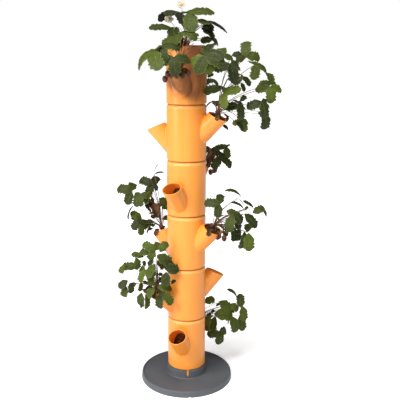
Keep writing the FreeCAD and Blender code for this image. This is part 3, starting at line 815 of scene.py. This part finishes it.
def leaf_places(row, crown):
    """Where a leaf's three leaflets stand: a matrix for each, and its side, which is 0 for the
    middle one, 1 for the left and -1 for the right."""
    x, y, z, turn, rise, roll, length = row
    joint = crown + Vector((x, y, z))
    level = level_ways(turn)[1]
    turn, rise, roll = (math.radians(angle) for angle in (turn, rise, roll))
    along = Vector((
        math.cos(rise) * math.cos(turn), math.cos(rise) * math.sin(turn), math.sin(rise)
    ))
    flat = along.cross(level)
    normal = flat * math.cos(roll) + level * math.sin(roll)
    side = level * math.cos(roll) - flat * math.sin(roll)
    places = [(standing(joint, along, side, normal, length), 0)]
    spread_by = math.radians(SIDE_LEAFLET_ANGLE)
    for hand in (1, -1):
        way = along * math.cos(spread_by) + side * (hand * math.sin(spread_by))
        way = (way - normal * SIDE_LEAFLET_SAG).normalized()
        across = normal.cross(way).normalized()
        size = length * SIDE_LEAFLET_SIZE
        places.append((standing(joint, way, across, way.cross(across), size), hand))
    return places


def stem(start, end, rise, radius, end_radius, steps=9):
    """A round tapered stalk that leaves its start straight up and bends over to its end."""
    deselect_all()
    bpy.ops.curve.primitive_bezier_curve_add()
    curve = bpy.context.object
    knee = start + Vector((0, 0, rise))
    first, last = curve.data.splines[0].bezier_points
    for point, place in ((first, start), (last, end)):
        point.handle_left_type = point.handle_right_type = "FREE"
        point.co = place
        reach = (knee - place) * (2 / 3)
        point.handle_left = place + (reach if point is last else -reach)
        point.handle_right = place + (-reach if point is last else reach)
    first.radius = 1.0
    last.radius = end_radius / radius
    curve.data.resolution_u = steps
    curve.data.bevel_depth = radius
    curve.data.bevel_resolution = 1
    curve.data.use_fill_caps = True
    work_on(curve)
    bpy.ops.object.convert(target="MESH")
    bpy.ops.object.shade_smooth_by_angle(angle=math.radians(60))
    return bpy.context.object


def mouth(place):
    """Centre of a planted mouth's soil and the way square to it, for a spout or the open top."""
    tier, level = place
    if level == "top":
        return Vector((0, 0, RIM_HEIGHT - TOP_SOIL_BELOW_RIM)), UP
    out = level_ways(TIER_TURNS[tier - 1] + (0 if level == "upper" else 180))[0]
    tilt = math.radians(MOUTH_TILT)
    normal = out * math.sin(tilt) + Vector((0, 0, math.cos(tilt)))
    base = COLLAR_TOP + (tier - 1) * TIER_PITCH
    rise = UPPER_MOUTH_HEIGHT if level == "upper" else LOWER_MOUTH_HEIGHT
    centre = out * MOUTH_REACH + Vector((0, 0, base + rise))
    return centre - normal * ROOTS_BELOW_MOUTH, normal


def crown_of(place):
    """The top of a plant's crown, which its leaves are measured from."""
    return mouth(place)[0] + Vector((0, 0, CROWN_HEIGHT))


def stalk_start(place, out, spread_by):
    """Where a stalk leaves the side of a plant's crown."""
    return crown_of(place) + out * spread_by - Vector((0, 0, CROWN_HEIGHT / 2))


def outward(x, y):
    """The level way from a crown's axis towards a place seen from the crown."""
    return Vector((x, y, 0)).normalized()


def body_of(place):
    """The body that carries a plant; the lowest tier stands still with the foot."""
    return "foot" if place[0] == 1 else f"tier_{place[0]}"


def called(place, what):
    return f"tier_{place[0]}_{place[1]}_{what}"


def finished(place, what, parts, skin=None, stands_for=()):
    """Join parts to one piece of a plant, with a skin if they are bare, give it its body, and hide
    the CAD nodes that it stands for."""
    piece = joined(parts, called(place, what))
    if skin:
        skinned(piece, skin)
    body = body_of(place)
    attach(piece, body)
    if stands_for:
        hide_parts(*stands_for)


def leaves(place, models):
    """All leaflets of one plant."""
    copies = []
    for row in LEAVES[place]:
        # painted light on some plants' leaves
        tint = chance.uniform(*LEAF_TINTS) + PAINTED_LIGHT_SHARE.get(place, 0)
        for matrix, hand in leaf_places(row, crown_of(place)):
            model = chance.choice(models[hand])
            copies.append(copied(model, matrix, tint + chance.uniform(*LEAFLET_TINTS)))
    finished(place, "leaves", copies, stands_for=[called(place, "plant")])


def stalks(place, skin):
    """The stalks of one plant's leaves."""
    made = []
    for row in LEAVES[place]:
        start = stalk_start(place, outward(*row[:2]), 2 * STALK_RADIUS)
        rise = max(STALK_RISE * row[2], STALK_CLEARANCE - row[2] / 2)
        end = crown_of(place) + Vector(row[:3])
        made.append(stem(start, end, rise, 1.3 * STALK_RADIUS, 0.8 * STALK_RADIUS))
    finished(place, "stalks", made, skin)


def shoots(place, models, skin):
    """Young shoots among the leaves: a thin stalk with one folded leaflet, or with none yet."""
    crown_top = crown_of(place)
    stems, young = [], []
    for number in range(SHOOTS + BARE_STALKS):
        row = chance.choice(LEAVES[place] + SMALL_LEAFLETS.get(place, []))
        share = chance.uniform(*SHOOT_SHARES)
        stray = Vector([chance.uniform(-SHOOT_STRAY, SHOOT_STRAY) for _ in range(2)] + [0])
        end = crown_top + Vector(row[:3]) * share + stray
        out = outward(row[0] + stray.x, row[1] + stray.y)
        start = stalk_start(place, out, chance.uniform(0.001, 0.006))
        rise = max(STALK_RISE * (end.z - crown_top.z), 0.6 * STALK_CLEARANCE)
        stems.append(stem(start, end, rise, STALK_RADIUS, 0.6 * STALK_RADIUS, 6))
        if number < SHOOTS:
            turn = math.degrees(math.atan2(out.y, out.x)) + chance.uniform(-60, 60)
            roll = chance.uniform(30, 80) * (1 if out.x < 0 else -1)
            rise = chance.uniform(-35, 60)
            bud = (*(end - crown_top), turn, rise, roll, chance.uniform(*YOUNG_LENGTHS))
            matrix = leaf_places(bud, crown_top)[0][0]
            young.append(copied(chance.choice(models[0]), matrix, chance.uniform(*YOUNG_TINTS)))
    finished(place, "shoots", stems, skin)
    finished(place, "young_leaflets", young)


def small_leaflets(place, models, skin):
    """Single leaflets among the leaves, each on a thin stalk."""
    stems, small = [], []
    for row in SMALL_LEAFLETS[place]:
        start = stalk_start(place, outward(*row[:2]), STALK_SPREAD)
        end = crown_of(place) + Vector(row[:3])
        rise = max(STALK_RISE * row[2], STALK_CLEARANCE * chance.uniform(0.5, 1.3))
        stems.append(stem(start, end, rise, STALK_RADIUS, 0.7 * STALK_RADIUS))
        # painted light on some plants' leaflets
        tint = chance.uniform(*SMALL_TINTS) + PAINTED_LIGHT_SHARE.get(place, 0)
        matrix = leaf_places(row, crown_of(place))[0][0]
        small.append(copied(chance.choice(models[0]), matrix, tint))
    finished(place, "small_stalks", stems, skin)
    finished(place, "small_leaflets", small)


def old_stalks(place, skin):
    """A fan of reddish stalks that have lost their fruit."""
    fan = []
    for row in OLD_STALKS[place]:
        start = stalk_start(place, outward(*row[:2]), STALK_SPREAD)
        end = crown_of(place) + Vector(row)
        fan.append(stem(start, end, STALK_RISE * row[2], STALK_RADIUS, STALK_RADIUS))
    finished(place, "old_stalks", fan, skin)


def withered(place, dry):
    """Dry leaflets that hang over the mouth and lean among the stalks."""
    fallen = []
    for row in DRY_LEAFLETS[place]:
        matrix = leaf_places(row, crown_of(place))[0][0]
        fallen.append(copied(dry, matrix, chance.uniform(*DRY_TINTS)))
    finished(place, "dry_leaflets", fallen)


def crown(place, scale_model, skin):
    """The short brown stem that the stalks grow from, with its papery scales."""
    deselect_all()
    foot = mouth(place)[0]
    bpy.ops.mesh.primitive_cone_add(
        vertices=14, radius1=CROWN_RADIUS, radius2=CROWN_RADIUS * 0.5, depth=CROWN_HEIGHT
    )
    base = bpy.context.object
    enter("EDIT")
    bpy.ops.mesh.subdivide(number_cuts=2)
    bpy.ops.transform.vertex_random(offset=0.0012, seed=3)
    enter("OBJECT")
    base.data.transform(Matrix.Translation(foot + Vector((0, 0, CROWN_HEIGHT * 0.45))))
    bpy.ops.object.shade_smooth()
    pieces = [skinned(base, skin)]
    for number in range(CROWN_SCALES):
        out, side = level_ways(number * SCALE_TURN)
        along = (out * 0.45 + UP).normalized()
        rise = CROWN_HEIGHT * (0.2 + 0.09 * number)
        spot = foot + out * CROWN_RADIUS * 0.7 + Vector((0, 0, rise))
        matrix = standing(spot, along, side, along.cross(side), SCALE_LENGTH)
        pieces.append(copied(scale_model, matrix, 0))
    finished(place, "crown", pieces)


def soil_top(place, radius, skin):
    """The crumbly surface of the soil in a mouth, a little heaped round the crown."""
    deselect_all()
    foot, normal = mouth(place)
    bpy.ops.mesh.primitive_cylinder_add(vertices=36, radius=radius, depth=0.004)
    heap = bpy.context.object
    pick(heap, lambda spot: spot.z > 0)
    bpy.ops.mesh.select_mode(type="FACE")
    for _ in range(SOIL_RINGS):
        bpy.ops.mesh.inset(thickness=radius / (SOIL_RINGS + 2), depth=0.0004)
    bpy.ops.mesh.poke()
    bpy.ops.mesh.select_mode(type="VERT")
    bpy.ops.mesh.select_all(action="SELECT")
    bpy.ops.mesh.subdivide(number_cuts=1)
    enter("OBJECT")
    slope = outward(normal.x, normal.y) if normal.z < 0.999 else Vector((1, 0, 0))
    side = normal.cross(slope).normalized()
    heap.data.transform(standing(foot, side.cross(normal), side, normal, 1))
    crumbs = bpy.data.textures.new("soil_crumbs", "CLOUDS")
    crumbs.noise_scale = CRUMB_SIZE
    crumbs.noise_depth = 3
    rough = heap.modifiers.new("crumbs", "DISPLACE")
    rough.texture = crumbs
    rough.strength = CRUMB_HEIGHT
    rough.mid_level = 0.45
    work_on(heap)
    bpy.ops.object.modifier_apply(modifier=rough.name)
    bpy.ops.object.shade_smooth()
    finished(place, "soil_top", [heap], skin)


def berry_model():
    """One berry hanging under the origin, its skin dimpled at each seed."""
    deselect_all()
    bpy.ops.mesh.primitive_uv_sphere_add(
        segments=14, ring_count=10, radius=BERRY_RADIUS, location=(0, 0, 0)
    )
    berry = bpy.context.object
    pick(berry, lambda spot: spot.z < -0.0005)
    bpy.ops.transform.resize(
        value=(1, 1, (BERRY_LENGTH - BERRY_RADIUS) / BERRY_RADIUS), center_override=(0, 0, 0)
    )
    bpy.ops.mesh.select_mode(type="FACE")
    bpy.ops.mesh.select_all(action="SELECT")
    bpy.ops.mesh.inset(thickness=0.0005, use_individual=True)
    bpy.ops.transform.shrink_fatten(value=-0.0004)
    enter("OBJECT")
    berry.data.transform(Matrix.Translation((0, 0, -BERRY_RADIUS)))
    bpy.ops.object.shade_smooth()
    return berry


def fruit_stalk(place, end, rise):
    """The thin stalk of a berry or flower, from the soil beside the crown."""
    foot, normal = mouth(place)
    start = foot + outward(end.x - foot.x, end.y - foot.y) * CROWN_RADIUS * 1.5 - normal * 0.002
    return stem(start, end, rise, FRUIT_STALK_RADIUS, FRUIT_STALK_RADIUS * 0.8)


def fruit(place, berry, sepal, skin):
    """Berries under their leafy caps, and the stalks that they hang from."""
    bodies, green = [], []
    for row in BERRIES[place]:
        end = crown_of(place) + Vector(row)
        bodies.append(copied(berry, Matrix.Translation(end), 0))
        green.append(skinned(fruit_stalk(place, end, FRUIT_STALK_RISE), skin))
        for number in range(BERRY_SEPALS):
            out, side = level_ways(360 / BERRY_SEPALS * number + 10)
            along = (out - 0.35 * UP).normalized()
            matrix = standing(end, along, side, along.cross(side), BERRY_SEPAL_LENGTH)
            green.append(copied(sepal, matrix, 0))
    nodes = [called(place, "berries")]
    finished(place, "berries", bodies, stands_for=nodes)
    finished(place, "fruit_stalks", green)


def petal_model():
    """One round cupped petal, a metre long, on +X from its claw."""
    deselect_all()
    bpy.ops.mesh.primitive_circle_add(
        vertices=14, radius=0.5, fill_type="TRIFAN", location=(0.5, 0, 0)
    )
    petal = bpy.context.object
    enter("EDIT")
    bpy.ops.mesh.subdivide(number_cuts=1)
    enter("OBJECT")
    bpy.ops.object.transform_apply(location=True)
    pick(petal, lambda spot: spot.x < 0.25)
    bpy.ops.transform.resize(value=(1, 0.62, 1), center_override=(0, 0, 0))
    pick(petal, lambda spot: (spot.x - 0.55) ** 2 + spot.y**2 > 0.12)
    bpy.ops.transform.translate(value=(0, 0, 0.09))
    enter("OBJECT")
    wall = petal.modifiers.new("wall", "SOLIDIFY")
    wall.thickness = 0.03
    bpy.ops.object.modifier_apply(modifier=wall.name)
    bpy.ops.object.shade_smooth()
    return petal


def petal_ways(facing, degrees):
    """The way outward at an angle round a flower, and the way square to it."""
    out, side = level_ways(degrees)
    return facing @ out, facing @ side


def flower_eye(centre, facing):
    """A small dome with short stamens standing round it."""
    deselect_all()
    up = facing @ UP
    bpy.ops.mesh.primitive_ico_sphere_add(subdivisions=2, radius=EYE_RADIUS)
    dome = bpy.context.object
    dome.data.transform(Matrix.Translation(centre + EYE_LIFT * up))
    bpy.ops.object.shade_smooth()
    parts = [dome]
    for number in range(STAMENS):
        out = petal_ways(facing, number * 360 / STAMENS)[0]
        root = centre + out * 0.0028
        tip = centre + out * (0.0048 + 0.0006 * (number % 2)) + STAMEN_RISE * up
        parts.append(stem(root, tip, 0.0015, 0.0003, 0.0005, 2))
    return joined(parts, "flower_eye")


def blossom(place, petal, sepal, eye_skin, skin):
    """Open flowers on long stalks: petals, sepals behind them, a domed eye and its stamens."""
    facing = Matrix.Rotation(math.radians(FLOWER_TILT), 3, "X")
    up = facing @ UP
    white, green, yellow = [], [], []
    for row in FLOWERS[place]:
        end = crown_of(place) + Vector(row)
        green.append(skinned(fruit_stalk(place, end, row[2] * STALK_RISE), skin))
        for number in range(PETALS):
            turn = 360 / PETALS * number
            out, side = petal_ways(facing, turn)
            along = (out + 0.22 * up).normalized()
            matrix = standing(end + out * 0.002, along, side, along.cross(side), PETAL_LENGTH)
            white.append(copied(petal, matrix, 0))
            out, side = petal_ways(facing, turn + 180 / PETALS)
            matrix = standing(end - 0.001 * up, out, side, up, FLOWER_SEPAL_LENGTH)
            green.append(copied(sepal, matrix, 0))
        yellow.append(skinned(flower_eye(end, facing), eye_skin))
    nodes = [called(place, "flowers")]
    finished(place, "petals", white, stands_for=nodes)
    finished(place, "flower_eyes", yellow)
    finished(place, "flower_stalks", green)


def dress_plastic():
    """Materials for the CAD pieces that stay in view; gives back the soil's."""
    soil = soil_crumbs()
    skins = {"shell": tier_plastic(), "foot": foot_plastic(), "soil": soil, "roots": soil}
    for name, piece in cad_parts.items():
        kind = name.split("_")[-1]
        if kind in skins:
            piece.data.materials.clear()
            piece.data.materials.append(skins[kind])
    return soil


def leaf_models():
    """Leaflets to choose from, by the side of the leaf that they stand on."""
    upper = leaf_skin("leaf_upper", UPPER_GREENS, UPPER_VEIN_AND_HIGHLIGHT, 0.52, 0.0012)
    # undersides painted darker than the upper sides, as painted shade
    under = leaf_skin("leaf_under_painted_shade", SHADED_UNDER_GREENS, SHADED_UNDER_VEIN_AND_HIGHLIGHT, 0.7, 0.0008)
    shapes = {
        0: [
            ("middle_leaflet_flat", 12, 10, 22, 0),
            ("middle_leaflet_cupped", 26, 14, 40, 0),
            ("middle_leaflet_drooping", 16, 20, 62, 0),
        ],
        1: [
            ("left_leaflet_flat", 14, 12, 26, -0.16),
            ("left_leaflet_drooping", 20, 18, 50, -0.2),
        ],
        -1: [
            ("right_leaflet_flat", 14, 12, 26, 0.16),
            ("right_leaflet_drooping", 20, 18, 50, 0.2),
        ],
    }
    return {
        hand: [skinned(leaflet_model(*shape), upper, under) for shape in rows]
        for hand, rows in shapes.items()
    }


def grow_plants(soil):
    """All plants, each from copies of the same few models."""
    models = leaf_models()
    stalk = stalk_skin("stalk", BROWN_STALK)
    red_stalk = stalk_skin("red_stalk", RED_STALK)
    green_stalk = stalk_skin("green_stalk", GREEN_STALK)
    husk = stalk_skin("husk", HUSK)
    dry_skin = leaf_skin("leaf_dry", DRY_BROWNS, DRY_VEIN_AND_HIGHLIGHT, 0.75, 0.0012)
    scale = skinned(leaflet_model("crown_scale", 18, 6, 20, 0), husk, husk)
    sepal = skinned(leaflet_model("sepal", 18, 6, 20, 0), green_stalk, green_stalk)
    dry = skinned(leaflet_model("dry_leaflet", 48, 40, 70, 0.1), dry_skin, dry_skin)
    berry = skinned(berry_model(), berry_skin())
    # petals painted greyer than their white, as painted shade
    petal = skinned(petal_model(), flower_skin("petal", PETAL_SHADED))
    eye_skin = flower_skin("flower_eye", FLOWER_EYE)
    for place in LEAVES:
        leaves(place, models)
        stalks(place, stalk)
        shoots(place, models, stalk)
        crown(place, scale, husk)
        soil_top(place, (NECK_RADIUS if place == TOP_PLANT else BORE_RADIUS) - SOIL_GAP, soil)
    for place in DRY_LEAFLETS:
        withered(place, dry)
    for place in OLD_STALKS:
        old_stalks(place, red_stalk)
    for place in SMALL_LEAFLETS:
        small_leaflets(place, models, stalk)
    for place in BERRIES:
        fruit(place, berry, sepal, green_stalk)
    for place in FLOWERS:
        blossom(place, petal, sepal, eye_skin, green_stalk)
    for model in (*models[0], *models[1], *models[-1], scale, sepal, dry, berry, petal):
        bpy.data.objects.remove(model)


def floor_white():
    """Pale floor that runs into the white backdrop and keeps the tower's shadow."""
    made, tree, shader = material("floor_white", 0.9)
    shader.inputs["Base Color"].default_value = (0.93, 0.93, 0.93, 1)
    shader.inputs["Specular IOR Level"].default_value = 0.0
    shader.inputs["Emission Color"].default_value = (1, 1, 1, 1)
    rays = node(tree, "LightPath").outputs
    bent = arithmetic(tree, "MAXIMUM", rays["Is Glossy Ray"], rays["Is Transmission Ray"])
    seen = arithmetic(tree, "MAXIMUM", rays["Is Camera Ray"], bent)
    away = node(tree, "VectorMath", [(0, object_place(tree))], operation="LENGTH").outputs["Value"]
    glow = spread(tree, away, FLOOR_GLOW, 1.0, FLOOR_GLOW_FROM, FLOOR_GLOW_FULL)
    tree.links.new(product(tree, seen, glow), shader.inputs["Emission Strength"])
    return made


def studio():
    """A pale floor, soft lamps, a white backdrop and the camera."""
    deselect_all()
    bpy.ops.mesh.primitive_plane_add(size=40, location=(0, 0, 0))
    floor = bpy.context.object
    floor.name = "floor"
    floor.data.materials.append(floor_white())
    for name, (place, size, power) in LAMPS.items():
        bpy.ops.object.light_add(type="AREA", location=place)
        lamp = bpy.context.object
        lamp.name = name
        lamp.data.energy = power
        lamp.data.size = size
        aim = Vector((0, 0, LAMP_AIM)) - Vector(place)
        lamp.rotation_euler = aim.to_track_quat("-Z", "Y").to_euler()
    world = bpy.data.worlds.new("studio")
    bpy.context.scene.world = world
    world.use_nodes = True
    tree = world.node_tree
    sky = tree.nodes["Background"]
    sky.inputs["Color"].default_value = (1, 1, 1, 1)
    rays = node(tree, "LightPath").outputs
    seen = arithmetic(tree, "MAXIMUM", rays["Is Camera Ray"], rays["Is Transmission Ray"])
    tree.links.new(spread(tree, seen, ROOM_LIGHT, 1.0), sky.inputs["Strength"])
    bpy.ops.object.camera_add(location=CAMERA_PLACE, rotation=(math.radians(CAMERA_PITCH), 0, 0))
    camera = bpy.context.object
    camera.data.lens = CAMERA_LENS
    camera.data.shift_x = CAMERA_SHIFT
    camera.data.clip_end = 60
    bpy.context.scene.camera = camera
    bpy.context.scene.view_settings.view_transform = "Standard"


grow_plants(dress_plastic())
studio()
